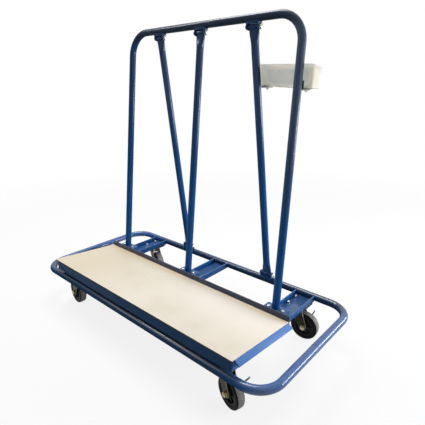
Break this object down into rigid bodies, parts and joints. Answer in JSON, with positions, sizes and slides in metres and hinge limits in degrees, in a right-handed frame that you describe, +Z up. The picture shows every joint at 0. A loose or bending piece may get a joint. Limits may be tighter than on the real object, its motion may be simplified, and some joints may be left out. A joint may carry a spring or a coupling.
{
  "type": "stone cart",
  "caption": "Pipe-framed stone cart with a sloping laminate deck behind a lip, a leaning braced hoop, a parts tub and swivel casters, two with brake levers.",
  "frame": {"origin": "on the floor under the centre of the base loop", "axes": "+X to the right along the cart, -Y out over the front lip of the deck, +Z up"},
  "size_m": [1.5166, 0.6926, 1.4305],
  "materials": {
    "frame_paint": "gloss blue powder coat",
    "deck_laminate": "cream laminate face",
    "bright_zinc": "bright zinc plate",
    "dark_zinc": "black oxide",
    "caster_zinc": "dull zinc plate",
    "bush_steel": "ground steel",
    "core_black": "black enamel on cast iron",
    "tyre_rubber": "black rubber",
    "tub_plastic": "milky translucent plastic",
    "black_paint": "satin black paint"
  },
  "bodies": {
    "cart": {"base_loop_front": "frame_paint", "base_loop_rear": "frame_paint", "left_channel": "frame_paint", "centre_channel": "frame_paint", "right_channel": "frame_paint", "front_angle": "frame_paint", "rear_angle": "frame_paint", "left_end_angle": "frame_paint", "right_end_angle": "frame_paint", "deck_ribs": "frame_paint", "hoop": "frame_paint", "centre_post": "frame_paint", "left_brace": "frame_paint", "right_brace": "frame_paint", "top_ears": "frame_paint", "rear_ears": "frame_paint", "foot_saddles": "frame_paint", "foot_plates": "frame_paint", "deck_board": "deck_laminate", "deck_screws": "bright_zinc", "joint_nuts": "bright_zinc", "foot_bolts": "bright_zinc", "foot_nuts": "bright_zinc", "tub_bolts": "bright_zinc", "tub_nuts": "bright_zinc", "caster_bolts": "bright_zinc", "caster_nuts": "bright_zinc", "kingpins": "bright_zinc", "swivel_balls": "bright_zinc", "joint_bolts": "dark_zinc", "parts_tub": "tub_plastic", "left_tub_arm": "black_paint", "right_tub_arm": "black_paint", "caster_plates": "caster_zinc"},
    "front_left_swivel": {"front_left_fork": "caster_zinc", "front_left_axle": "bright_zinc"},
    "front_left_wheel": {"front_left_bush": "bush_steel", "front_left_core": "core_black", "front_left_tyre": "tyre_rubber"},
    "front_right_swivel": {"front_right_fork": "caster_zinc", "front_right_axle": "bright_zinc", "front_right_brake_cam": "bright_zinc"},
    "front_right_wheel": {"front_right_bush": "bush_steel", "front_right_core": "core_black", "front_right_tyre": "tyre_rubber"},
    "front_right_brake": {"front_right_brake_lever": "bright_zinc"},
    "rear_left_swivel": {"rear_left_fork": "caster_zinc", "rear_left_axle": "bright_zinc"},
    "rear_left_wheel": {"rear_left_bush": "bush_steel", "rear_left_core": "core_black", "rear_left_tyre": "tyre_rubber"},
    "rear_right_swivel": {"rear_right_fork": "caster_zinc", "rear_right_axle": "bright_zinc", "rear_right_brake_cam": "bright_zinc"},
    "rear_right_wheel": {"rear_right_bush": "bush_steel", "rear_right_core": "core_black", "rear_right_tyre": "tyre_rubber"},
    "rear_right_brake": {"rear_right_brake_lever": "bright_zinc"}
  },
  "joints": [
    {"name": "front_left_swivel", "type": "hinge", "parent": "cart", "child": "front_left_swivel", "pos_m": [-0.519, -0.262, 0.155], "axis": [0, 0, 1], "continuous": true},
    {"name": "front_left_wheel_spin", "type": "hinge", "parent": "front_left_swivel", "child": "front_left_wheel", "pos_m": [-0.55281, -0.25845, 0.065], "axis": [-0.1045, -0.9945, 0], "continuous": true},
    {"name": "front_right_swivel", "type": "hinge", "parent": "cart", "child": "front_right_swivel", "pos_m": [0.519, -0.262, 0.155], "axis": [0, 0, 1], "continuous": true},
    {"name": "front_right_wheel_spin", "type": "hinge", "parent": "front_right_swivel", "child": "front_right_wheel", "pos_m": [0.55184, -0.2708, 0.065], "axis": [0.2588, 0.9659, 0], "continuous": true},
    {"name": "front_right_brake_turn", "type": "hinge", "parent": "front_right_swivel", "child": "front_right_brake", "pos_m": [0.55184, -0.2708, 0.065], "axis": [0.2588, 0.9659, 0], "range_deg": [0, 40]},
    {"name": "rear_left_swivel", "type": "hinge", "parent": "cart", "child": "rear_left_swivel", "pos_m": [-0.519, 0.262, 0.155], "axis": [0, 0, 1], "continuous": true},
    {"name": "rear_left_wheel_spin", "type": "hinge", "parent": "rear_left_swivel", "child": "rear_left_wheel", "pos_m": [-0.48649, 0.25206, 0.065], "axis": [0.2924, 0.9563, 0], "continuous": true},
    {"name": "rear_right_swivel", "type": "hinge", "parent": "cart", "child": "rear_right_swivel", "pos_m": [0.519, 0.262, 0.155], "axis": [0, 0, 1], "continuous": true},
    {"name": "rear_right_wheel_spin", "type": "hinge", "parent": "rear_right_swivel", "child": "rear_right_wheel", "pos_m": [0.55281, 0.26555, 0.065], "axis": [-0.1045, 0.9945, 0], "continuous": true},
    {"name": "rear_right_brake_turn", "type": "hinge", "parent": "rear_right_swivel", "child": "rear_right_brake", "pos_m": [0.55281, 0.26555, 0.065], "axis": [-0.1045, 0.9945, 0], "range_deg": [0, 50]}
  ]
}
